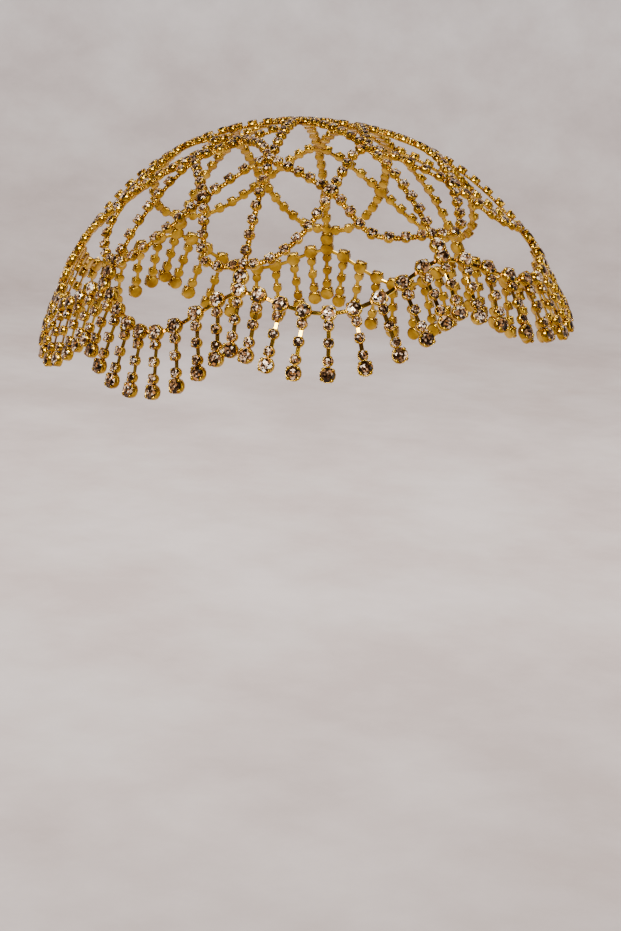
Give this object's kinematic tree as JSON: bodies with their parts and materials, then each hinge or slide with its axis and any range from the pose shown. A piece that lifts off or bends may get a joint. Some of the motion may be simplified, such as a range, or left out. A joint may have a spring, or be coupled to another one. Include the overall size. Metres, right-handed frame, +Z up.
{
  "type": "bridal headpiece",
  "caption": "Open cap of gold cup chain with round cut stones: spokes and crossing petal loops over the crown, ending in a scalloped fringe of short stone drops.",
  "frame": {"origin": "under the middle of the crown's plate, where the headpiece lies on the crown of the head", "axes": "+Z up, the wearer faces -Y, +X is the wearer's left side"},
  "size_m": [0.1593, 0.1861, 0.0841],
  "materials": {
    "gold": "polished yellow gold plate",
    "stone": "faceted champagne and peach foiled glass"
  },
  "bodies": {
    "root": {"crown_joint": "gold", "spoke_1": "gold", "spoke_2": "gold", "spoke_3": "gold", "spoke_4": "gold", "spoke_5": "gold", "spoke_6": "gold", "spoke_7": "gold", "spoke_8": "gold", "petal_1": "gold", "petal_2": "gold", "petal_3": "gold", "petal_4": "gold", "petal_5": "gold", "petal_6": "gold", "petal_7": "gold", "petal_8": "gold", "inner_strand_1": "gold", "inner_strand_2": "gold", "inner_strand_3": "gold", "inner_strand_4": "gold", "inner_strand_5": "gold", "inner_strand_6": "gold", "inner_strand_7": "gold", "inner_strand_8": "gold", "rim_1": "gold", "rim_2": "gold", "rim_3": "gold", "rim_4": "gold", "rim_5": "gold", "rim_6": "gold", "rim_7": "gold", "rim_8": "gold", "drops_1": "gold", "drops_2": "gold", "drops_3": "gold", "drops_4": "gold", "drops_5": "gold", "drops_6": "gold", "drops_7": "gold", "drops_8": "gold"}
  },
  "joints": []
}
